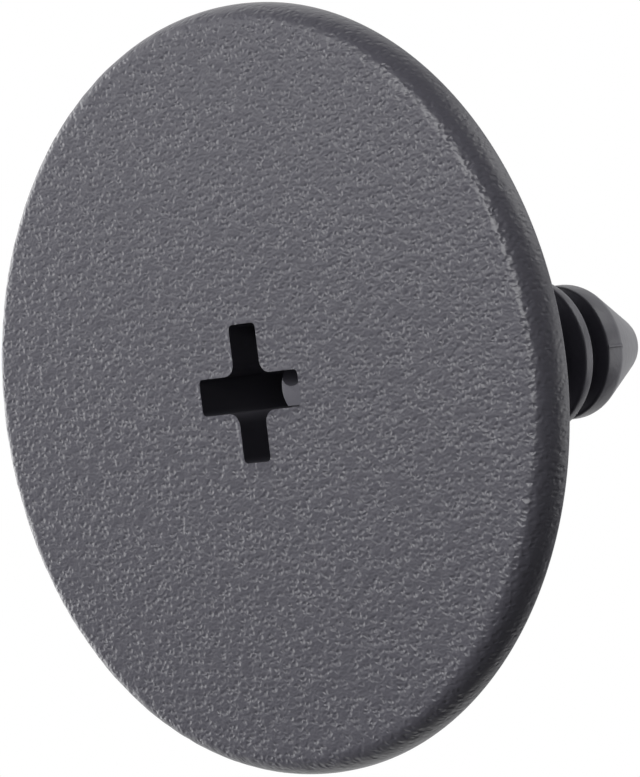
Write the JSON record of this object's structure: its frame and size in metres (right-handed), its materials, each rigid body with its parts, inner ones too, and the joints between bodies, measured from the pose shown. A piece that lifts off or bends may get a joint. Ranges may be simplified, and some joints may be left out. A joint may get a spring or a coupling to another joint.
{
  "type": "floor carpet clip",
  "caption": "Push-in carpet clip: thin round grained head with a cross-shaped key recess, and a ribbed shank with a conical tip that presses into a round hole.",
  "frame": {"origin": "centre of the head's face, which the clip stands on", "axes": "+Z along the shank towards its tip, +X through the arm of the cross recess that holds the gate land"},
  "size_m": [0.03, 0.03, 0.023],
  "materials": {
    "moulded_plastic": "dark grey moulded plastic, spark-eroded grain on the face of the head, smooth on the shank"
  },
  "bodies": {
    "root": {"carpet_clip": "moulded_plastic"}
  },
  "joints": []
}
